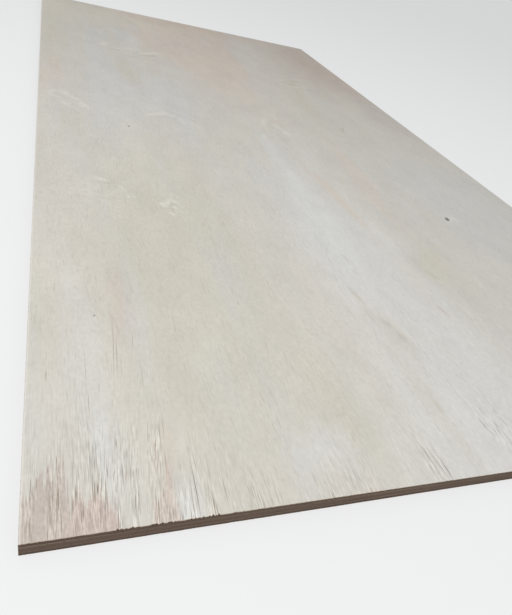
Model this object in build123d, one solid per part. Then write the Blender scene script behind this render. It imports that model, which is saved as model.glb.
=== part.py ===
from build123d import *
import os

# A sheet of seven-ply plywood, 4 by 8 feet, lying flat with its face side up.
# Millimetres. The origin is at the centre of the bottom face. +Y runs along the length,
# which is also the way the grain of the face veneer runs, and +Z points out of the face side.

# The trimmed sheet
SHEET_WIDTH = 1220.0
SHEET_LENGTH = 2440.0

# The thickness of each kind of ply. Together the seven make 18 mm.
FACE_VENEER = 0.6
BACK_VENEER = 0.6
CROSSBAND = 3.4
LONG_CORE = 3.3

# The saw and the sander leave the outer edges of both faces slightly broken.
FACE_ARRIS = 0.3
BACK_ARRIS = 0.3
# An arris never takes more than this share of the veneer that it is cut on.
LARGEST_ARRIS_SHARE = 0.7

# The plies in the order that they are laid up in the press, from the bottom, with the
# thickness of each. The grain of every ply crosses that of the one under it.
LAY_UP = (
    ("back_veneer", BACK_VENEER),
    ("crossband_lower", CROSSBAND),
    ("long_core_lower", LONG_CORE),
    ("crossband_centre", CROSSBAND),
    ("long_core_upper", LONG_CORE),
    ("crossband_upper", CROSSBAND),
    ("face_veneer", FACE_VENEER),
)


def saw_outline():
    """The outline that the saws cut through all the plies at once, after pressing."""
    return Rectangle(SHEET_WIDTH, SHEET_LENGTH)


def lay_ply(height, thickness):
    """One ply of the sheet's full size, lying on what is already laid up to that height."""
    return extrude(Pos(0, 0, height) * saw_outline(), amount=thickness)


def break_arris(veneer, side, size, thickness):
    """Breaks the four edges of an outer face. The side is -1 for the top face and 0 for the bottom."""
    outer_edges = veneer.faces().sort_by(Axis.Z)[side].edges()
    return chamfer(outer_edges, min(size, LARGEST_ARRIS_SHARE * thickness))


def lay_up_sheet():
    """All the plies by name, each lying face to face on the one before."""
    plies = {}
    height = 0.0
    for name, thickness in LAY_UP:
        plies[name] = lay_ply(height, thickness)
        height += thickness
    plies["face_veneer"] = break_arris(plies["face_veneer"], -1, FACE_ARRIS, FACE_VENEER)
    plies["back_veneer"] = break_arris(plies["back_veneer"], 0, BACK_ARRIS, BACK_VENEER)
    return plies


os.makedirs("parts", exist_ok=True)
for ply_name, ply in lay_up_sheet().items():
    export_step(ply, f"parts/{ply_name}.step")
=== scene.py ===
import math

import bmesh
import bpy
from mathutils import Matrix, Vector, noise


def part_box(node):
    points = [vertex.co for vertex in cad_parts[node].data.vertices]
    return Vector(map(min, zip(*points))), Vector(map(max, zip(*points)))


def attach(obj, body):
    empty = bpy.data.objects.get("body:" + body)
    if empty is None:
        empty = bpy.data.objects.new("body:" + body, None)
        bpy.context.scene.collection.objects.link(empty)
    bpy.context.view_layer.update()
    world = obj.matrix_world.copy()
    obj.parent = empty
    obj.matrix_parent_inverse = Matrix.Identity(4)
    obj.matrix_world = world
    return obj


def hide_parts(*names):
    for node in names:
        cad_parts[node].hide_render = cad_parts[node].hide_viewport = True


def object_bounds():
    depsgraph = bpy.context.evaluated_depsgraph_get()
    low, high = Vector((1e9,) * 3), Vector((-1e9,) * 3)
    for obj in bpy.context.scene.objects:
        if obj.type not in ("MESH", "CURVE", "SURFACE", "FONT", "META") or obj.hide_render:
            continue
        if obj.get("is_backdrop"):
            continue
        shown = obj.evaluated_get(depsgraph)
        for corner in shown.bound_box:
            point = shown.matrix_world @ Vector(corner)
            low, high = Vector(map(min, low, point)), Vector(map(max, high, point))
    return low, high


MM = 0.001

# The camera, in metres from the middle of the sheet's underside
EYE = Vector((-0.5906, -1.4675, 0.4657))
TURNED_RIGHT = math.radians(27.29)
LOOKS_DOWN = math.radians(35.15)
TILTED = math.radians(16.96)
LENS = 30.57
SENSOR = 36.0
NEAREST_SEEN = 0.01

# Light, where 1 is the level at which a colour renders as written
SKY_LIGHT = 0.42
WINDOW_LIGHT = 125.0
WINDOW_PLACE = (-2.0, -2.0, 3.5)
WINDOW_SIZE = 2.4

# The floor, and the pale distance past its end
FLOOR_TONE = (0.86, 0.865, 0.87)
FLOOR_GLOW = 0.6
FLOOR_ROUGHNESS = 0.9
FLOOR_SIZE = 60.0
FLOOR_GAP = 0.1 * MM
DISTANCE_TONE = (0.66, 0.664, 0.668)

# The cells of the plies' meshes. Towards the edges and the marks of the face they are halved
# while they are more than COARSEST times their goal, out to MARK_SPREAD cells from a mark.
CELLS_ACROSS = 20
CELLS_ALONG = 40
LEVELS = 7
VENEER_CELLS = (0.96 * MM, 1.91 * MM)
CORE_CELLS = (1.91 * MM, 3.82 * MM)
MARK_CELL = 0.48 * MM
MARK_SPREAD = 2.2
COARSEST = 1.5
WALL_CUTS = 2
FLAT_ENOUGH = 0.01 * MM
TOP_SHARE = 0.99
SHARP_ANGLE = math.radians(35)

# A number for each edge and end, which gives its wear a noise of its own
LEFT_EDGE, RIGHT_EDGE, NEAR_END, FAR_END = 0.0, 10.0, 20.0, 30.0

# Wear of the sawn edges: how deep each kind is, and its swells to a metre along the edge and up
FURROW_DEPTH = 0.35 * MM
FURROW_SWELLS = (45, 900)
END_GRAIN_DEPTH = 0.1 * MM
END_GRAIN_SWELLS = (420, 1500)
RAGGED_DEPTH = 0.35 * MM
RAGGED_SWELLS = 260
CHIP_DEPTH = 2.4 * MM
CHIP_SWELLS = 520
CHIP_CLUSTER_SWELLS = 90
ARRIS = 0.3 * MM

# How far in the wear fades out, where the near end is chipped most, and its share elsewhere
WEAR_FADE = 6 * MM
CHIPPED_MIDDLE = -0.48
CHIPPED_REACH = 0.09
CHIPPED_ELSEWHERE = 0.18

# The glue lines wander in slow and quick swells
GLUE_WANDER = 0.15 * MM
GLUE_SLOW = 7
GLUE_QUICK = 45
GLUE_QUICK_SHARE = 0.4
GLUE_FROM_PLY_TO_PLY = 300

# Open checks of the face, from one end to the other
CHECK_DEPTH = 0.35 * MM
CHECK_HALF_WIDTH = 0.7 * MM
CHECKS = (
    ((-0.4507, -1.152), (-0.4535, -1.225)),
    ((-0.1675, -1.155), (-0.164, -1.225)),
    ((-0.161, -1.165), (-0.1565, -1.225)),
    ((-0.1525, -1.185), (-0.1515, -1.225)),
)

# Small knots of the face: place, radius and how dark each is
KNOT_DEPTH = 0.3 * MM
KNOTS = (
    (0.3053, -0.5552, 7.5 * MM, 0.7),
    (-0.409, -0.2146, 3.8 * MM, 0.42),
    (-0.531, -0.9215, 1.8 * MM, 0.4),
    (0.287, 0.014, 7.0 * MM, 0.15),
)

# The map of each piece: strips for hidden faces, and rows for the sawn edges
HIDDEN_STRIP = 0.01
CELLS_A_VENEER_ROW = 20
CELLS_A_CORE_ROW = 2.5
VENEER_ROW = 0.004
CORE_ROW = 0.02
ROW_MARGIN = 0.04
NEAR_END_SHARPER = 0.75

# Tones of the face, as they look in plain light
CREAM = (208, 204, 195)
CLEAR_WHITE = (213, 212, 208)
BRIGHT_WHITE = (218, 219, 216)
DEEP_CREAM = (204, 200, 187)
COOL_GREY = (206, 205, 201)
ROSY = (212, 200, 188)
DULL_ROSE = (199, 188, 177)
DEEP_ROSE = (209, 194, 180)
DULL_GREY = (196, 191, 184)
WARM_WHITE = (224, 216, 200)
COOL_FIBRE = (203, 204, 204)
WARM_FIBRE = (210, 202, 189)
PALE_FIBRE = (226, 223, 214)
DARK_FIBRE = (152, 141, 127)
SMUDGE_TONE = (184, 176, 158)
STREAK_ROSE = (199, 184, 174)
FLARE_TONE = (194, 183, 174)
FLARE_ROSE = (198, 183, 174)
LINE_TONE = (118, 106, 94)
KNOT_TONE = (62, 54, 46)
VENEER_EDGE = (172, 156, 138)
# The width of the painted highlight along the rim of the long edges
HIGHLIGHT_RIM_WIDTH = 3 * MM

# The patterns of a sanded veneer, with their swells to a metre across the grain and along it
CLOUDS = (8, 2.6, 1)
WARM_CLOUDS = (13, 1.8, 1)
MOTTLE = (26, 12, 1)
GRIT = (230, 160, 1)
CROWDS = (80, 5, 1)
THREADS = (1000, 58, 1)
NEEDLES = (950, 38, 1)
CURLS = (45, 75, 1)
FLARE_TIPS = (650, 13, 1)
FLARE_GRIT = (500, 200, 1)
BACK_ZONES = (3, 0.6, 1)

# How much each pattern lightens and darkens the veneer, or tints it
CLOUD_RANGE = 0.08
MOTTLE_RANGE = 0.17
GRIT_RANGE = 0.2
FLARE_GRIT_RANGE = 0.5
THREAD_RANGE = 1.8
COOL_SHARE = 0.3
WARM_SHARE = 0.35
# The share of its fibres that a well sanded place still shows
FINE_FIBRES = 0.18

# How far an outline or the grain is pushed to and fro, and the push's swells to a metre
ZONE_PUSH = ((0.16, 0.5, 0), (5, 1.2, 1))
BAND_PUSH = ((0.07, 0.2, 0), (9, 2.5, 1))
WISP_PUSH = ((0.012, 0.012, 0), (12, 8, 1))
STREAK_PUSH = ((0.003, 0.004, 0), (120, 30, 1))
GRAIN_PUSH = ((0.02, 0, 0), (2.5, 1.3, 1))

# The strength of the marks of the face, and how its knots and their pale halos lie
PALE_FIGURE = 0.35
DARK_FIGURE = 0.15
# The wisps carry the sheen of the figure, painted as pale fibre, over its paler wood
WISP_AND_SHEEN_STRENGTH = 0.6
ROSY_STRENGTH = 0.45
LINE_STRENGTH = 0.7
# The checks' dark line is painted shade in their grooves
CHECK_SHADE_STRENGTH = 0.9
# The strength of the painted highlight along the rim of the long edges
HIGHLIGHT_RIM_STRENGTH = 0.8
HALO_STRENGTH = 0.4
KNOT_TURN = -0.5

# Roughness, how much rougher the raised fibres are, and the depth of the relief
FACE_ROUGHNESS = 0.52
BACK_ROUGHNESS = 0.55
VENEER_ROUGHER = 0.12
VENEER_RELIEF = 0.06 * MM
CORE_ROUGHNESS = 0.75
CORE_ROUGHER = 0.15
CORE_RELIEF = 0.15 * MM

# How far a surface faces up or down where it counts as flat, and where it counts as a wall
FLAT_FACE = 0.85
STEEP_WALL = 0.6

# Tones of the back, which is a plainer veneer
BACK_TONE = (202, 193, 178)
BACK_BROWN = (188, 176, 157)

# Wide zones of the face: tone, strength, middle, and reach across and along
ZONES = (
    (ROSY, 0.85, (-0.04, 0.8), (0.38, 0.9)),
    (DULL_ROSE, 1.0, (0.58, 0.85), (0.36, 0.85)),
    (COOL_GREY, 0.8, (-0.34, 0.1), (0.3, 0.5)),
    (COOL_GREY, 0.8, (0.42, -0.5), (0.36, 0.5)),
    (DEEP_CREAM, 1.0, (-0.39, -0.78), (0.19, 0.62)),
    # This warm white zone is painted light: it lightens the far end on the left, where the window's light
    # falls off
    (WARM_WHITE, 0.35, (-0.35, 1.05), (0.5, 0.5)),
    (CLEAR_WHITE, 1.0, (-0.04, -0.85), (0.18, 0.8)),
    (CLEAR_WHITE, 0.9, (0.02, -1.25), (0.34, 0.35)),
)

# Long bands of the face, which lie over the zones: tone, strength, start, end and half the width
BANDS = (
    (COOL_GREY, 0.5, (0.24, 1.15), (0.1, 0.3), 0.08),
    (DULL_GREY, 0.6, (0.57, 0.55), (0.55, -0.1), 0.12),
    (WARM_WHITE, 0.4, (-0.56, 1.25), (-0.57, 0.8), 0.08),
    (DEEP_ROSE, 0.7, (-0.45, 1.16), (0.5, 1.16), 0.13),
    (DEEP_CREAM, 0.9, (0.31, 0.62), (0.21, 0.05), 0.06),
    (DEEP_CREAM, 0.6, (-0.575, 1.0), (-0.565, 0.2), 0.05),
    (COOL_GREY, 0.9, (-0.44, 0.95), (-0.46, -0.4), 0.07),
    (CLEAR_WHITE, 0.8, (-0.32, 0.85), (-0.3, 0.52), 0.07),
    (DEEP_CREAM, 0.8, (-0.36, 0.42), (-0.35, 0.12), 0.05),
    (ROSY, 0.6, (-0.58, 0.4), (-0.575, -0.1), 0.045),
    (BRIGHT_WHITE, 0.55, (-0.045, -0.1), (-0.075, -0.62), 0.035),
    (BRIGHT_WHITE, 0.55, (-0.06, -0.4), (-0.08, -0.85), 0.055),
    (CLEAR_WHITE, 0.6, (0.07, -0.05), (0.04, -0.6), 0.05),
    (ROSY, 0.6, (0.17, -0.05), (0.13, -0.65), 0.05),
    (ROSY, 0.5, (0.012, -0.3), (0.034, -0.66), 0.028),
    (DEEP_CREAM, 0.95, (0.17, -0.7), (0.06, -0.85), 0.07),
    (DEEP_CREAM, 0.8, (-0.27, -0.95), (-0.24, -1.2), 0.05),
    (DEEP_CREAM, 0.6, (-0.6, -0.75), (-0.6, -1.1), 0.03),
    (CLEAR_WHITE, 0.6, (-0.56, -0.8), (-0.55, -1.12), 0.03),
    (CLEAR_WHITE, 0.9, (-0.541, -1.04), (-0.535, -1.2), 0.02),
    (CLEAR_WHITE, 0.9, (-0.462, -1.13), (-0.464, -1.23), 0.024),
    (CLEAR_WHITE, 0.7, (-0.3, -1.12), (-0.3, -1.2), 0.07),
    (STREAK_ROSE, 0.35, (-0.49, -0.78), (-0.505, -1.0), 0.025),
    (STREAK_ROSE, 0.3, (-0.472, -1.06), (-0.482, -1.2), 0.013),
)

# Places with crumbly figure across the grain: middle, and reach across and along
FIGURED = (
    ((-0.545, -0.1), (0.08, 0.12)),
    ((-0.33, 0.5), (0.16, 0.12)),
    ((-0.3, -0.08), (0.08, 0.08)),
    ((0.0, -0.05), (0.08, 0.14)),
    ((-0.375, -0.59), (0.05, 0.06)),
    ((0.3, 0.42), (0.1, 0.12)),
    ((-0.52, -0.55), (0.12, 0.12)),
)

# Pale wisps of the face, partly the figure's paler wood and partly the sheen that its curls catch, painted
# in as pale fibre: half the width of each, and the points that it passes
PALE_WISPS_AND_SHEEN = (
    (15 * MM, (-0.549, -0.03), (-0.5389, -0.05), (-0.5129, -0.086), (-0.497, -0.13)),
    (13 * MM, (-0.587, -0.057), (-0.572, -0.028), (-0.548, -0.026)),
    (11 * MM, (-0.587, -0.06), (-0.5766, -0.073), (-0.5604, -0.078)),
    (9 * MM, (-0.556, -0.119), (-0.545, -0.127)),
    (24 * MM, (-0.42, 0.515), (-0.398, 0.58)),
    (16 * MM, (-0.36, 0.53), (-0.3, 0.55)),
    (22 * MM, (-0.288, 0.51), (-0.25, 0.54), (-0.215, 0.562)),
    (11 * MM, (0.2, 0.482), (0.285, 0.526), (0.37, 0.58)),
    (10 * MM, (0.241, 0.415), (0.32, 0.448)),
    (14 * MM, (-0.359, -0.119), (-0.305, -0.089), (-0.271, -0.097), (-0.26, -0.148)),
    (17 * MM, (-0.018, -0.06), (0.012, 0.005)),
    (15 * MM, (0.022, -0.032), (0.038, -0.08), (0.048, -0.12)),
    (12 * MM, (-0.052, -0.175), (-0.036, -0.14)),
    (8 * MM, (-0.385, -0.6), (-0.373, -0.572), (-0.36, -0.59)),
    (8 * MM, (-0.3925, -0.592), (-0.387, -0.606)),
    (6 * MM, (-0.37, -0.6), (-0.366, -0.61)),
    (5 * MM, (-0.38, -0.626), (-0.374, -0.636)),
    (12 * MM, (-0.5, -0.508), (-0.483, -0.52)),
    (8 * MM, (-0.461, -0.537), (-0.456, -0.547)),
    (4 * MM, (-0.451, -0.572), (-0.4495, -0.582)),
    (4 * MM, (-0.439, -0.57), (-0.438, -0.581)),
    (9 * MM, (0.327, -0.54), (0.335, -0.56)),
    (2.5 * MM, (-0.3, -1.162), (-0.298, -1.195)),
    (2.5 * MM, (-0.2915, -1.155), (-0.289, -1.19)),
    (2.5 * MM, (-0.284, -1.155), (-0.282, -1.185)),
    (10 * MM, (0.247, -0.015), (0.262, -0.045)),
)

# Streaks and lines of the face from one end to the other, with half their width
ROSY_STREAKS = (
    ((-0.512, -0.86), (-0.51, -1.04), 1.6 * MM),
    ((-0.5055, -0.9), (-0.5035, -1.0), 1.2 * MM),
    ((-0.486, -1.11), (-0.484, -1.17), 2 * MM),
    ((-0.4775, -1.1), (-0.4755, -1.2), 1.5 * MM),
    ((-0.49, -1.13), (-0.4885, -1.17), 1.5 * MM),
    ((-0.5161, -1.153), (-0.518, -1.18), 1 * MM),
    ((0.044, -0.885), (0.052, -0.93), 7 * MM),
)
BROWN_LINES = (
    ((-0.5337, -1.149), (-0.5339, -1.168), 0.7 * MM),
    ((-0.5221, -1.12), (-0.5229, -1.134), 0.8 * MM),
    ((-0.5193, -1.147), (-0.5203, -1.18), 0.6 * MM),
    ((-0.5488, -1.122), (-0.5496, -1.178), 0.5 * MM),
    ((-0.5424, -1.11), (-0.5432, -1.18), 0.4 * MM),
    ((-0.5435, -1.17), (-0.5441, -1.186), 0.9 * MM),
    ((-0.5459, -1.05), (-0.5463, -1.09), 0.5 * MM),
    ((-0.5889, -1.015), (-0.5891, -1.037), 0.7 * MM),
    ((-0.5871, -1.145), (-0.5871, -1.156), 0.7 * MM),
    ((-0.5793, -1.134), (-0.5794, -1.146), 0.7 * MM),
    ((-0.4475, -1.148), (-0.4467, -1.172), 0.4 * MM),
    ((-0.4222, -1.165), (-0.4241, -1.218), 0.5 * MM),
    ((-0.5085, -0.925), (-0.5166, -1.04), 0.45 * MM),
    ((-0.5062, -0.945), (-0.5127, -1.042), 0.4 * MM),
    ((-0.4868, -0.955), (-0.4898, -0.992), 0.4 * MM),
    ((-0.4835, -1.005), (-0.4853, -1.062), 0.3 * MM),
    ((-0.5335, -1.04), (-0.5345, -1.058), 0.4 * MM),
    ((-0.4753, -1.096), (-0.4785, -1.142), 0.5 * MM),
    ((-0.4704, -1.094), (-0.4736, -1.13), 0.45 * MM),
    ((-0.4812, -1.112), (-0.4838, -1.14), 0.4 * MM),
    ((-0.4752, -1.14), (-0.4777, -1.172), 0.4 * MM),
    ((-0.5465, -0.97), (-0.5475, -1.07), 0.3 * MM),
    ((-0.37, -0.82), (-0.369, -0.88), 0.35 * MM),
)
# Soft brown marks: the strength of each, half its width, and the points that it passes
SMUDGES = (
    (0.16, 26 * MM, (-0.112, -0.9), (-0.09, -0.945), (-0.072, -1.02)),
    (0.38, 11 * MM, (-0.094, -0.928), (-0.079, -0.955), (-0.077, -0.992)),
    (0.12, 20 * MM, (-0.052, -0.92), (-0.045, -0.985)),
    (0.35, 9 * MM, (-0.112, -0.84), (-0.102, -0.895)),
    (0.3, 6 * MM, (-0.074, -0.738), (-0.07, -0.768)),
    (0.3, 6 * MM, (-0.102, -1.095), (-0.1, -1.13)),
    (0.3, 10 * MM, (0.092, -0.785), (0.106, -0.815)),
    (0.33, 14 * MM, (-0.392, 0.492), (-0.358, 0.5)),
    (0.38, 12 * MM, (-0.282, 0.486), (-0.224, 0.514)),
    (0.2, 18 * MM, (-0.34, 0.438), (-0.3, 0.45)),
    (0.45, 13 * MM, (0.28, 0.505), (0.325, 0.535)),
    (0.3, 14 * MM, (0.252, 0.458), (0.29, 0.476)),
    (0.33, 12 * MM, (0.262, -0.03), (0.285, 0.03)),
)

# Flares of darker wood that run in from the near end: middle, and reach across and along
FLARES = (
    ((-0.583, -1.23), (0.036, 0.1)),
    ((-0.6, -1.225), (0.016, 0.08)),
    ((-0.574, -1.225), (0.014, 0.112)),
    ((-0.562, -1.235), (0.017, 0.08)),
    ((-0.547, -1.235), (0.034, 0.072)),
    ((-0.487, -1.235), (0.021, 0.066)),
    ((-0.4835, -1.215), (0.007, 0.078)),
)
ROSIER_FLARE = ((-0.545, -1.21), (0.03, 0.06))
PALER_FLARE = ((-0.485, -1.19), (0.028, 0.12))
PALER_STRENGTH = 0.55

# Where the grain leans as it leaves the near end: middle, reach across and along, and the slope
LEANING = ((-0.49, -1.18), (0.075, 0.4))
LEAN = 0.11

# Where the sander has left the grain coarse: middle, and reach across and along
COARSE = (
    ((-0.535, -1.24), (0.13, 0.18)),
    ((-0.44, -1.25), (0.11, 0.13)),
    ((-0.475, -1.15), (0.04, 0.07)),
    ((-0.29, -1.25), (0.09, 0.09)),
    ((-0.16, -1.23), (0.027, 0.09)),
    ((-0.03, -1.17), (0.05, 0.07)),
)

# Tones of the core plies, their reddish brown wood with painted shade of the sawn edges in it, and of the
# glue between them
SHADED_CORE_TONES = {
    "crossband_upper": (86, 67, 54),
    "long_core_upper": (108, 89, 73),
    "crossband_centre": (97, 78, 63),
    "long_core_lower": (99, 80, 65),
    "crossband_lower": (83, 64, 51),
}
GLUE_TONE = (58, 44, 34)
CORE_PALE = (150, 131, 110)
CORE_DARK = (62, 47, 37)

# The patterns of a core ply, with their swells to a metre along its fibres, across them and up
RINGS = (1.5, 6, 900)
CORE_FIBRES = (18, 900, 1400)
CORE_PATCHES = (4, 14, 60)
SPLITS = (3, 800, 240)
CORE_PATCH_RANGE = 0.3
CORE_GRAIN_STRENGTH = 0.5
SPLIT_STRENGTH = 0.7
GLUE_STRENGTH = 0.8


def srgb(red, green, blue):
    """A colour written as 0 to 255 on screen, as the shaders want it."""
    def straight(value):
        share = value / 255
        return share / 12.92 if share <= 0.04045 else ((share + 0.055) / 1.055) ** 2.4
    return (straight(red), straight(green), straight(blue), 1.0)


BLACK = srgb(0, 0, 0)


class Finish:
    """A material whose pattern is worked out from the place on the sheet, in metres."""

    def __init__(self, name):
        self.material = bpy.data.materials.new(name)
        self.material.use_nodes = True
        self.tree = self.material.node_tree
        self.shader = self.tree.nodes["Principled BSDF"]
        self.place = self.node("ShaderNodeTexCoord").outputs["Object"]

    def give(self, socket, value):
        """Links a socket to another, or sets it to a value."""
        if isinstance(value, bpy.types.NodeSocket):
            self.tree.links.new(value, socket)
        else:
            socket.default_value = value

    def node(self, kind, inputs=None, **settings):
        """A new node with its inputs linked or set."""
        made = self.tree.nodes.new(kind)
        for name, value in settings.items():
            setattr(made, name, value)
        for name, value in (inputs or {}).items():
            self.give(made.inputs[name], value)
        return made

    def math(self, operation, *values):
        """One step of arithmetic on numbers or sockets."""
        made = self.node("ShaderNodeMath", operation=operation)
        for socket, value in zip(made.inputs, values):
            self.give(socket, value)
        return made.outputs[0]

    def most(self, shares):
        """The largest of several shares."""
        largest = shares[0]
        for share in shares[1:]:
            largest = self.math("MAXIMUM", largest, share)
        return largest

    def cloud(self, per_metre, detail, seed, place=None):
        """A noise node with that many swells to a metre along x, y and z."""
        stretched = self.node(
            "ShaderNodeMapping",
            {"Vector": place or self.place, "Location": (seed, 1.7 * seed, 0.3 * seed), "Scale": per_metre},
        )
        return self.node(
            "ShaderNodeTexNoise", {"Vector": stretched.outputs[0], "Scale": 1.0, "Detail": detail}
        )

    def noise(self, per_metre, detail=2.0, seed=0.0, place=None):
        """Noise about 0.5."""
        return self.cloud(per_metre, detail, seed, place).outputs["Fac"]

    def waver(self, reach, per_metre, seed=0.0):
        """The place, pushed to and fro up to that reach, which makes outlines irregular."""
        push = self.node("ShaderNodeVectorMath", operation="SUBTRACT")
        self.give(push.inputs[0], self.cloud(per_metre, 3.0, seed).outputs["Color"])
        push.inputs[1].default_value = (0.5, 0.5, 0.5)
        moved = self.node("ShaderNodeVectorMath", operation="MULTIPLY_ADD")
        self.give(moved.inputs[0], push.outputs[0])
        moved.inputs[1].default_value = reach
        self.give(moved.inputs[2], self.place)
        return moved.outputs[0]

    def rise(self, value, low, high):
        """Nought up to low and one from high on, or the other way round where low is the larger."""
        made = self.node(
            "ShaderNodeMapRange",
            {"Value": value, "From Min": low, "From Max": high},
            interpolation_type="SMOOTHSTEP",
        )
        return made.outputs[0]

    def spot(self, middle, reach, turn=0.0, core=0.0, place=None):
        """One in the middle of an oval, out to that share of its reach, and nought at its rim."""
        oval = self.node(
            "ShaderNodeMapping",
            {
                "Vector": place or self.place,
                "Location": (*middle, 0),
                "Rotation": (0, 0, turn),
                "Scale": (*reach, 10),
            },
            vector_type="TEXTURE",
        )
        ball = self.node("ShaderNodeTexGradient", {"Vector": oval.outputs[0]}, gradient_type="SPHERICAL")
        return self.rise(ball.outputs["Fac"], 0.0, 1 - core)

    def stroke(self, start, end, half_width, place=None, reach=None):
        """A long thin spot from one point of the face to another."""
        line = Vector(end) - Vector(start)
        middle = (Vector(start) + Vector(end)) / 2
        turn = math.atan2(line.y, line.x) - math.pi / 2
        return self.spot(middle, (half_width, reach or 0.6 * line.length), turn, 0.1, place)

    def curve(self, half_width, *points, place=None):
        """Strokes from point to point that run into one another."""
        strokes = []
        for start, end in zip(points, points[1:]):
            reach = (Vector(end) - Vector(start)).length / 2 + half_width
            strokes.append(self.stroke(start, end, half_width, place, reach))
        return self.most(strokes)

    def mix(self, share, first, second, limited=True):
        """The first tone, with that share of the second."""
        made = self.node("ShaderNodeMix", data_type="RGBA", clamp_factor=limited)
        self.give(made.inputs[0], share)
        self.give(made.inputs[6], first)
        self.give(made.inputs[7], second)
        return made.outputs[2]

    def toward(self, tone, other, share, strength=1.0):
        """The tone, moved towards another by a share of that strength."""
        return self.mix(self.math("MULTIPLY", share, strength), tone, srgb(*other))

    def vary(self, tone, level, amount):
        """The tone made lighter and darker by noise about 0.5, over that range."""
        darker = self.math("MULTIPLY_ADD", level, -amount, amount / 2)
        return self.mix(darker, tone, BLACK, limited=False)

    def finished(self, tone, roughness, height, depth):
        """The material with its colour, its roughness and its relief, which is that deep in metres."""
        self.give(self.shader.inputs["Base Color"], tone)
        self.give(self.shader.inputs["Roughness"], roughness)
        relief = self.node("ShaderNodeBump", {"Height": height, "Distance": depth, "Strength": 1.0})
        self.give(self.shader.inputs["Normal"], relief.outputs[0])
        return self.material


def lean_grain(finish):
    """The place on the face, pushed so that what is drawn along y wanders and leans as the grain does."""
    _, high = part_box("face_veneer")
    wander = finish.waver(*GRAIN_PUSH, 17)
    place = finish.node("ShaderNodeSeparateXYZ", {"Vector": finish.place})
    from_end = finish.math("ADD", place.outputs["Y"], high.y)
    slope = finish.math("MULTIPLY", finish.spot(*LEANING, core=0.3), LEAN)
    push = finish.node("ShaderNodeCombineXYZ", {"X": finish.math("MULTIPLY", from_end, slope)})
    leaned = finish.node("ShaderNodeVectorMath", operation="SUBTRACT")
    finish.give(leaned.inputs[0], wander)
    finish.give(leaned.inputs[1], push.outputs[0])
    return leaned.outputs[0]


def add_fibres(finish, tone, coarse, seed, grain):
    """The fibres of a sanded veneer along its grain, and its relief. Where it is coarse they show more."""
    clouds = finish.noise(CLOUDS, 4, seed + 1)
    tone = finish.vary(tone, clouds, CLOUD_RANGE)
    warmth = finish.noise(WARM_CLOUDS, 3, seed + 3)
    tone = finish.toward(tone, COOL_FIBRE, finish.rise(warmth, 0.47, 0.3), COOL_SHARE)
    tone = finish.toward(tone, WARM_FIBRE, finish.rise(warmth, 0.53, 0.7), WARM_SHARE)
    mottle = finish.noise(MOTTLE, 6, seed + 2)
    tone = finish.vary(tone, mottle, MOTTLE_RANGE)
    grit = finish.noise(GRIT, 3, seed + 8)
    tone = finish.vary(tone, grit, GRIT_RANGE)
    crowded = finish.rise(finish.noise(CROWDS, 2, seed + 7, grain), 0.3, 0.6)
    open_grain = finish.math("MULTIPLY_ADD", coarse, 1 - FINE_FIBRES, FINE_FIBRES)
    shown = finish.math("MULTIPLY", crowded, open_grain)
    threads = finish.noise(THREADS, 3, seed + 4, grain)
    darker = finish.math("MULTIPLY_ADD", threads, -THREAD_RANGE, THREAD_RANGE / 2)
    streaks = finish.math("MULTIPLY", darker, shown)
    tone = finish.mix(streaks, tone, BLACK, limited=False)
    needles = finish.rise(finish.noise(NEEDLES, 1, seed + 5, grain), 0.6, 0.67)
    tone = finish.toward(tone, DARK_FIBRE, finish.math("MULTIPLY", needles, shown))
    soft = finish.math("MULTIPLY_ADD", mottle, 0.6, 1.0)
    height = finish.math("SUBTRACT", soft, finish.math("MULTIPLY", needles, shown))
    return tone, height


def edge_share(finish):
    """One on the walls of a piece and nought on its flat faces."""
    normal = finish.node("ShaderNodeSeparateXYZ")
    finish.give(normal.inputs[0], finish.node("ShaderNodeNewGeometry").outputs["Normal"])
    level = finish.math("ABSOLUTE", normal.outputs["Z"])
    return finish.rise(level, FLAT_FACE, STEEP_WALL)


def rim_highlight_share(finish):
    """A painted highlight along the long edges: one at the very rim, falling to nought a few millimetres
    in.
    """
    _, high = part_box("face_veneer")
    place = finish.node("ShaderNodeSeparateXYZ", {"Vector": finish.place})
    across = finish.math("SUBTRACT", high.x, finish.math("ABSOLUTE", place.outputs["X"]))
    return finish.rise(across, HIGHLIGHT_RIM_WIDTH, 0.0)


def draw_flares(finish, tone, grain):
    """Darker wood that runs in from the near end in long tips, and where it does."""
    spots = [finish.spot(middle, reach, core=0.3, place=grain) for middle, reach in FLARES]
    field = finish.most(spots)
    tips = finish.noise(FLARE_TIPS, 2, 61, grain)
    ragged = finish.math("MULTIPLY_ADD", field, 2.0, finish.math("MULTIPLY_ADD", tips, 4.0, -2.0))
    share = finish.math("MULTIPLY", finish.rise(ragged, 0.72, 1.0), finish.rise(field, 0.0, 0.15))
    rosier = finish.spot(*ROSIER_FLARE, core=0.4, place=grain)
    inside = finish.toward(srgb(*FLARE_TONE), FLARE_ROSE, rosier)
    paler = finish.spot(*PALER_FLARE, core=0.5, place=grain)
    inside = finish.toward(inside, ROSY, paler, PALER_STRENGTH)
    grit = finish.noise(FLARE_GRIT, 3, 66)
    inside = finish.vary(inside, grit, FLARE_GRIT_RANGE)
    return finish.mix(share, tone, inside), share


def draw_figure(finish, tone, bent):
    """Pale wisps, with the sheen of the figure painted into them, and soft crumbly figure across the grain,
    in a few places of the face.
    """
    places = finish.most([finish.spot(middle, reach) for middle, reach in FIGURED])
    curls = finish.noise(CURLS, 4, 81)
    pale = finish.math("MULTIPLY", finish.rise(curls, 0.48, 0.7), places)
    tone = finish.toward(tone, PALE_FIBRE, pale, PALE_FIGURE)
    dark = finish.math("MULTIPLY", finish.rise(curls, 0.47, 0.3), places)
    tone = finish.toward(tone, DARK_FIBRE, dark, DARK_FIGURE)
    wisps = finish.most([finish.curve(*wisp, place=bent) for wisp in PALE_WISPS_AND_SHEEN])
    torn = finish.math("MULTIPLY_ADD", finish.rise(curls, 0.3, 0.6), 0.4, 0.6)
    return finish.toward(tone, PALE_FIBRE, finish.math("MULTIPLY", wisps, torn), WISP_AND_SHEEN_STRENGTH)


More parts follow.
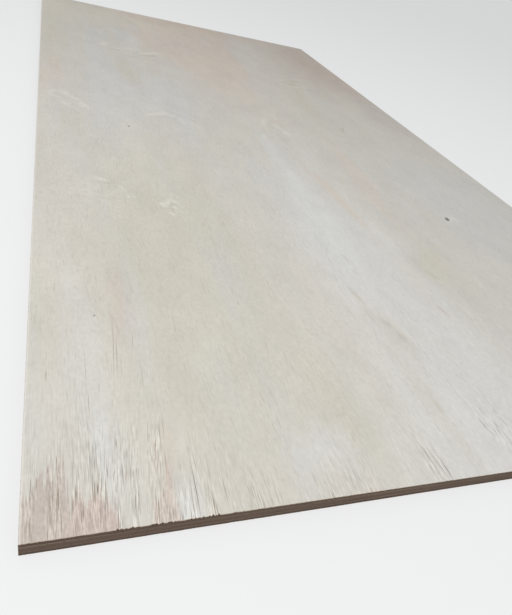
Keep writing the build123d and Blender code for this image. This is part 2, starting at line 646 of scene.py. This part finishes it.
def face_finish():
    """The sanded face: wide soft zones, fine grain and the few marks that the real sheet has, with painted
    light in it: a lighter far end, a highlight along the long rims, shade in the checks and sheen in the
    pale wisps.
    """
    finish = Finish("sanded_face")
    soft = finish.waver(*ZONE_PUSH, 11)
    tone = srgb(*CREAM)
    for zone_tone, strength, middle, reach in ZONES:
        tone = finish.toward(tone, zone_tone, finish.spot(middle, reach, core=0.25, place=soft), strength)
    slack = finish.waver(*BAND_PUSH, 13)
    for band_tone, strength, start, end, half_width in BANDS:
        tone = finish.toward(tone, band_tone, finish.stroke(start, end, half_width, slack), strength)
    bent = finish.waver(*WISP_PUSH, 31)
    tone = draw_figure(finish, tone, bent)
    grain = lean_grain(finish)
    tone, flared = draw_flares(finish, tone, grain)
    coarse = finish.most([flared] + [finish.spot(middle, reach) for middle, reach in COARSE])
    tone, height = add_fibres(finish, tone, coarse, 20, grain)

    smudges = []
    for strength, half_width, *points in SMUDGES:
        smudge = finish.curve(half_width, *points, place=bent)
        smudges.append(finish.math("MULTIPLY", smudge, strength))
    tone = finish.toward(tone, SMUDGE_TONE, finish.most(smudges))
    tight = finish.waver(*STREAK_PUSH, 33)
    streaks = finish.most([finish.stroke(*stroke, tight) for stroke in ROSY_STREAKS])
    tone = finish.toward(tone, STREAK_ROSE, streaks, ROSY_STRENGTH)
    lines = finish.most([finish.stroke(*stroke) for stroke in BROWN_LINES])
    tone = finish.toward(tone, LINE_TONE, lines, LINE_STRENGTH)
    # The dark line along each check is painted shade in its groove
    checks = finish.most([finish.stroke(*ends, CHECK_HALF_WIDTH) for ends in CHECKS])
    tone = finish.toward(tone, LINE_TONE, checks, CHECK_SHADE_STRENGTH)
    for x, y, radius, strength in KNOTS:
        halo = finish.spot((x + radius, y), (2.4 * radius, 3.2 * radius), KNOT_TURN, 0.2, tight)
        tone = finish.toward(tone, PALE_FIBRE, halo, HALO_STRENGTH * strength)
        core = finish.spot((x, y), (radius, 1.7 * radius), KNOT_TURN, 0.5, tight)
        tone = finish.toward(tone, KNOT_TONE, core, strength)

    # A painted highlight: the face is lightened towards pale fibre along the rim of its long edges
    tone = finish.toward(tone, PALE_FIBRE, rim_highlight_share(finish), HIGHLIGHT_RIM_STRENGTH)
    tone = finish.toward(tone, VENEER_EDGE, edge_share(finish))
    roughness = finish.math("MULTIPLY_ADD", height, VENEER_ROUGHER, FACE_ROUGHNESS)
    return finish.finished(tone, roughness, height, VENEER_RELIEF)


def back_finish():
    """The sanded back, of a plainer and browner veneer."""
    finish = Finish("sanded_back")
    wide = finish.noise(BACK_ZONES, 3, 71)
    tone = finish.toward(srgb(*BACK_TONE), BACK_BROWN, finish.rise(wide, 0.4, 0.65))
    grain = finish.waver(*GRAIN_PUSH, 77)
    tone, height = add_fibres(finish, tone, 0.5, 70, grain)
    tone = finish.toward(tone, VENEER_EDGE, edge_share(finish))
    roughness = finish.math("MULTIPLY_ADD", height, VENEER_ROUGHER, BACK_ROUGHNESS)
    return finish.finished(tone, roughness, height, VENEER_RELIEF)


def core_finish(name, tone, fibres_along, seed):
    """Raw wood of a core ply, cut through by the saw, between its two glue lines. Its base tone is the
    wood's own brown darkened by painted shade of the sawn edge.
    """
    finish = Finish(name)

    def stretched(along, across, height):
        return (across, along, height) if fibres_along else (along, across, height)

    rings = finish.rise(finish.noise(stretched(*RINGS), 3, seed), 0.5, 0.75)
    tone = finish.toward(srgb(*tone), CORE_PALE, rings, CORE_GRAIN_STRENGTH)
    fibres = finish.noise(stretched(*CORE_FIBRES), 3, seed + 1)
    tone = finish.toward(tone, CORE_DARK, finish.rise(fibres, 0.5, 0.75), CORE_GRAIN_STRENGTH)
    patches = finish.noise(stretched(*CORE_PATCHES), 3, seed + 2)
    tone = finish.vary(tone, patches, CORE_PATCH_RANGE)
    splits = finish.rise(finish.noise(stretched(*SPLITS), 1, seed + 3), 0.66, 0.74)
    tone = finish.toward(tone, CORE_DARK, splits, SPLIT_STRENGTH)
    through = finish.node("ShaderNodeAttribute", attribute_name="through").outputs["Fac"]
    from_glue = finish.math("PINGPONG", through, 0.5)
    tone = finish.toward(tone, GLUE_TONE, finish.rise(from_glue, 0.09, 0.02), GLUE_STRENGTH)
    height = finish.math("SUBTRACT", fibres, splits)
    roughness = finish.math("MULTIPLY_ADD", fibres, CORE_ROUGHER, CORE_ROUGHNESS)
    return finish.finished(tone, roughness, height, CORE_RELIEF)


def lay_grid(low, high):
    """A level grid of square cells over the whole sheet, at the height of a ply's underside."""
    shape = bmesh.new()
    bmesh.ops.create_grid(shape, x_segments=CELLS_ACROSS, y_segments=CELLS_ALONG, size=1)
    bmesh.ops.scale(shape, verts=shape.verts, vec=(high.x, high.y, 1))
    bmesh.ops.translate(shape, verts=shape.verts, vec=(0, 0, low.z))
    return shape


def halve_cells(shape, cell, wanted):
    """Halves each cell of that size that is wanted."""
    faces = [
        face
        for face in shape.faces
        if len(face.verts) == 4
        and 0.8 < face.calc_area() / cell**2 < 1.2
        and wanted(face.calc_center_median())
    ]
    edges = list({edge for face in faces for edge in face.edges})
    bmesh.ops.subdivide_edges(shape, edges=edges, cuts=1, use_grid_fill=True)


def raise_walls(shape, thickness):
    """Gives the grid its thickness, with a few rows of faces up each wall."""
    made = bmesh.ops.extrude_face_region(shape, geom=shape.faces[:])
    raised = [item for item in made["geom"] if isinstance(item, bmesh.types.BMVert)]
    bmesh.ops.translate(shape, verts=raised, vec=(0, 0, thickness))
    upright = [
        edge for edge in shape.edges if abs(edge.verts[0].co.z - edge.verts[1].co.z) > FLAT_ENOUGH
    ]
    bmesh.ops.subdivide_edges(shape, edges=upright, cuts=WALL_CUTS, use_grid_fill=True)
    bmesh.ops.recalc_face_normals(shape, faces=shape.faces)


def lay_map(shape, low, high, shown, row_length, row_height):
    """The piece's own map, named OFBake: hidden faces in thin strips at the bottom, then the sawn
    edges in stacked rows, and above them the flat face that shows, if one does."""
    layer = shape.loops.layers.uv.new("OFBake")
    width, length = high.x - low.x, high.y - low.y
    thickness = high.z - low.z
    rows_across, rows_along = round(width / row_length), round(length / row_length)
    edges_from = (1 if shown else 2) * HIDDEN_STRIP
    face_from = edges_from + 2 * (rows_across + rows_along) * row_height
    first_row = {
        (0, -1): 0,
        (0, 1): rows_across,
        (-1, 0): 2 * rows_across,
        (1, 0): 2 * rows_across + rows_along,
    }
    for face in shape.faces:
        facing = (round(face.normal.x), round(face.normal.y))
        if facing == (0, 0):
            for loop in face.loops:
                across = (loop.vert.co.x - low.x) / width
                along = (loop.vert.co.y - low.y) / length
                if round(face.normal.z) == shown:
                    up = face_from + (1 - face_from) * along**NEAR_END_SHARPER
                else:
                    up = HIDDEN_STRIP * ((face.normal.z > 0 and not shown) + along)
                loop[layer].uv = (across, up)
            continue
        axis = 0 if facing[0] == 0 else 1
        row = math.floor((face.calc_center_median()[axis] - low[axis]) / row_length)
        for loop in face.loops:
            across = (loop.vert.co[axis] - low[axis]) / row_length - row
            through = ROW_MARGIN + (1 - 2 * ROW_MARGIN) * (loop.vert.co.z - low.z) / thickness
            loop[layer].uv = (across, edges_from + (first_row[facing] + row + through) * row_height)


def fray(place, fibres_along_cut, side):
    """How far the saw has worn a core ply back from its cut edge."""
    if fibres_along_cut:
        along, up = FURROW_SWELLS
        furrow = noise.noise(Vector((place[0] * along, place[1] * up, side)))
        return FURROW_DEPTH * max(0.0, furrow + 0.1)
    along, up = END_GRAIN_SWELLS
    return END_GRAIN_DEPTH * abs(noise.noise(Vector((place[0] * along, place[1] * up, side))))


def chip(along, side):
    """How far the thin veneer has broken back from its cut edge."""
    small = RAGGED_DEPTH * max(0.0, noise.noise(Vector((along * RAGGED_SWELLS, side, 3.0))))
    if side != NEAR_END:
        return small
    worst = 1 - abs(along - CHIPPED_MIDDLE) / CHIPPED_REACH
    bites = max(0.0, noise.noise(Vector((along * CHIP_SWELLS, side, 8.0))) + 0.18)
    clusters = max(0.0, 0.6 + 2 * noise.noise(Vector((along * CHIP_CLUSTER_SWELLS, side, 5.0))))
    return small + CHIP_DEPTH * bites * clusters * min(1.0, max(CHIPPED_ELSEWHERE, 2 * worst))


def glue_wave(x, y, height, top):
    """How far a glue line wanders up or down from its level."""
    if height < FLAT_ENOUGH or height > top - FLAT_ENOUGH:
        return 0.0
    level = height * GLUE_FROM_PLY_TO_PLY
    slow = noise.noise(Vector((x * GLUE_SLOW, y * GLUE_SLOW, level)))
    quick = noise.noise(Vector((x * GLUE_QUICK, y * GLUE_QUICK, level)))
    return GLUE_WANDER * (slow + GLUE_QUICK_SHARE * quick)


def from_line(point, start, end):
    """The distance of a point of the face from a straight line between two others."""
    line = Vector(end) - Vector(start)
    share = min(1.0, max(0.0, (point - Vector(start)).dot(line) / line.length_squared))
    return (point - Vector(start) - share * line).length


def sunk(point):
    """How far the face is sunk there, in a check or a knot."""
    depth = 0.0
    for start, end in CHECKS:
        away = from_line(point, start, end)
        depth = max(depth, CHECK_DEPTH * (1 - away / CHECK_HALF_WIDTH))
    for x, y, radius, strength in KNOTS:
        away = (point - Vector((x, y))).length / radius
        depth = max(depth, KNOT_DEPTH * strength * (1 - away * away))
    return depth


def near_mark(point, reach):
    """Whether a point of the face lies within that reach of a check or a knot."""
    if any(from_line(point, start, end) < reach for start, end in CHECKS):
        return True
    return any((point - Vector((x, y))).length < radius + reach for x, y, radius, _ in KNOTS)


class Ply:
    """Where a ply lies in the sheet, and of which kind it is."""

    def __init__(self, node, fibres_along, thin):
        self.low, self.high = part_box(node)
        self.thickness = self.high.z - self.low.z
        self.top_of_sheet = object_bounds()[1][2]
        self.marked = self.high.z > self.top_of_sheet - FLAT_ENOUGH
        self.fibres_along = fibres_along
        self.thin = thin


def cut_cells(ply):
    """The ply as a grid with walls and a map, finer towards its edges and the marks of the face."""
    cell = 2 * ply.high.x / CELLS_ACROSS
    finest_near, finest = VENEER_CELLS if ply.thin else CORE_CELLS

    def wanted(centre):
        beside = min(ply.high.x - abs(centre.x), ply.high.y - abs(centre.y))
        at_near_end = centre.y + ply.high.y < 2 * cell
        goal = finest_near if at_near_end else finest
        if beside < cell and cell > COARSEST * goal:
            return True
        marked = ply.marked and cell > COARSEST * MARK_CELL
        return marked and near_mark(centre.to_2d(), MARK_SPREAD * cell)

    shape = lay_grid(ply.low, ply.high)
    row_cells, row_height = (
        (CELLS_A_VENEER_ROW, VENEER_ROW) if ply.thin else (CELLS_A_CORE_ROW, CORE_ROW)
    )
    row_length = row_cells * cell
    for _ in range(LEVELS):
        halve_cells(shape, cell, wanted)
        cell /= 2
    raise_walls(shape, ply.thickness)
    shown = (1 if ply.marked else -1) if ply.thin else 0
    lay_map(shape, ply.low, ply.high, shown, row_length, row_height)
    return shape


def wear_ply(ply, shape):
    """Sinks the marks of the face, wears the edges back and lets the glue lines wander."""
    low, high = ply.low, ply.high
    through = shape.verts.layers.float.new("through")
    for vert in shape.verts:
        x, y, z = vert.co
        share = (z - low.z) / ply.thickness
        vert[through] = share
        if ply.marked and share > TOP_SHARE:
            z -= max(0.0, sunk(Vector((x, y))))
        if ply.thin:
            outer = (high.z - z) if ply.marked else (z - low.z)
            arris = max(0.0, ARRIS - outer)
        beside = high.x - abs(x)
        if beside < WEAR_FADE:
            side = LEFT_EDGE if x < 0 else RIGHT_EDGE
            fade = 1 - beside / WEAR_FADE
            worn = chip(y, side) + arris if ply.thin else fray((y, z), ply.fibres_along, side)
            vert.co.x = math.copysign(high.x - beside - worn * fade, x)
        beside = high.y - abs(y)
        if beside < WEAR_FADE:
            side = NEAR_END if y < 0 else FAR_END
            fade = 1 - beside / WEAR_FADE
            worn = chip(x, side) + arris if ply.thin else fray((x, z), not ply.fibres_along, side)
            vert.co.y = math.copysign(high.y - beside - worn * fade, y)
        below = glue_wave(x, y, low.z, ply.top_of_sheet)
        above = glue_wave(x, y, high.z, ply.top_of_sheet)
        vert.co.z = z + (1 - share) * below + share * above


def saw_ply(node, finish, fibres_along, thin):
    """One ply as the saws and the sander leave it, standing for its plain solid."""
    ply = Ply(node, fibres_along, thin)
    shape = cut_cells(ply)
    wear_ply(ply, shape)
    for edge in shape.edges:
        edge.smooth = edge.calc_face_angle(0) < SHARP_ANGLE
    for face in shape.faces:
        face.smooth = True

    name = f"sawn_{node}"
    mesh = bpy.data.meshes.new(name)
    shape.to_mesh(mesh)
    shape.free()
    mesh.materials.append(finish)
    piece = bpy.data.objects.new(name, mesh)
    bpy.context.collection.objects.link(piece)
    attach(piece, "root")
    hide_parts(node)


def lay_floor():
    """A plain pale floor, which shows a little lighter to the camera than it is to the lamps."""
    mesh = bpy.data.meshes.new("floor")
    shape = bmesh.new()
    bmesh.ops.create_grid(shape, x_segments=1, y_segments=1, size=FLOOR_SIZE / 2)
    bmesh.ops.translate(shape, verts=shape.verts, vec=(0, 0, -FLOOR_GAP))
    shape.to_mesh(mesh)
    shape.free()
    floor = bpy.data.objects.new("floor", mesh)
    bpy.context.collection.objects.link(floor)
    finish = Finish("pale_floor")
    finish.shader.inputs["Base Color"].default_value = (*FLOOR_TONE, 1)
    finish.shader.inputs["Roughness"].default_value = FLOOR_ROUGHNESS
    seen = finish.node("ShaderNodeLightPath").outputs["Is Camera Ray"]
    glow = finish.node("ShaderNodeEmission", {"Color": (*FLOOR_TONE, 1), "Strength": 1.0})
    both = finish.node("ShaderNodeMixShader")
    finish.give(both.inputs[0], finish.math("MULTIPLY", seen, FLOOR_GLOW))
    finish.give(both.inputs[1], finish.shader.outputs[0])
    finish.give(both.inputs[2], glow.outputs[0])
    output = finish.tree.nodes["Material Output"]
    finish.give(output.inputs["Surface"], both.outputs[0])
    mesh.materials.append(finish.material)
    floor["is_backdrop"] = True


def light_room():
    """An even pale sky, and one large soft window behind the camera that lights the near end more."""
    world = bpy.data.worlds.new("studio")
    bpy.context.scene.world = world
    world.use_nodes = True
    nodes, links = world.node_tree.nodes, world.node_tree.links
    sky = nodes["Background"]
    sky.inputs["Color"].default_value = (1, 1, 1, 1)
    sky.inputs["Strength"].default_value = SKY_LIGHT
    distance = nodes.new("ShaderNodeBackground")
    distance.inputs["Color"].default_value = (*DISTANCE_TONE, 1)
    both = nodes.new("ShaderNodeMixShader")
    links.new(nodes.new("ShaderNodeLightPath").outputs["Is Camera Ray"], both.inputs[0])
    links.new(sky.outputs[0], both.inputs[1])
    links.new(distance.outputs[0], both.inputs[2])
    links.new(both.outputs[0], nodes["World Output"].inputs["Surface"])

    lamp = bpy.data.lights.new("window", "AREA")
    lamp.energy = WINDOW_LIGHT
    lamp.size = WINDOW_SIZE
    window = bpy.data.objects.new("window", lamp)
    window.location = WINDOW_PLACE
    aim = Vector((0, 0, 0)) - Vector(WINDOW_PLACE)
    window.rotation_euler = aim.to_track_quat("-Z", "Y").to_euler()
    bpy.context.collection.objects.link(window)


def set_camera():
    """The camera, at the photograph's viewing angle."""
    lens = bpy.data.cameras.new("camera")
    lens.sensor_fit = "AUTO"
    lens.sensor_width = SENSOR
    lens.lens = LENS
    lens.clip_start = NEAREST_SEEN
    lens.clip_end = 2 * FLOOR_SIZE
    camera = bpy.data.objects.new("camera", lens)
    turn = (
        Matrix.Rotation(-TURNED_RIGHT, 4, "Z")
        @ Matrix.Rotation(math.pi / 2 - LOOKS_DOWN, 4, "X")
        @ Matrix.Rotation(TILTED, 4, "Z")
    )
    camera.matrix_world = Matrix.Translation(EYE) @ turn
    bpy.context.collection.objects.link(camera)
    bpy.context.scene.camera = camera


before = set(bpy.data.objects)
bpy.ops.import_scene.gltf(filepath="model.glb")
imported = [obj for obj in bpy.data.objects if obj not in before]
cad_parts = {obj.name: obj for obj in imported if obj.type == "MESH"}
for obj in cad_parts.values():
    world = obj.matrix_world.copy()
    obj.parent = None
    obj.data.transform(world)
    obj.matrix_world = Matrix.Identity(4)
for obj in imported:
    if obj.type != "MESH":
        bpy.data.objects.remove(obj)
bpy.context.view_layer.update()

bpy.context.scene.view_settings.view_transform = "Standard"
set_camera()
light_room()
lay_floor()

veneer_finishes = {"face_veneer": face_finish(), "back_veneer": back_finish()}
for number, node_name in enumerate(sorted(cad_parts)):
    if node_name in veneer_finishes:
        saw_ply(node_name, veneer_finishes[node_name], True, True)
        continue
    fibres_along = node_name.startswith("long_core")
    # The core plies' tones are their brown wood with painted shade of the sawn edges in it
    finish = core_finish(f"raw_{node_name}", SHADED_CORE_TONES[node_name], fibres_along, 100 + 10 * number)
    saw_ply(node_name, finish, fibres_along, False)
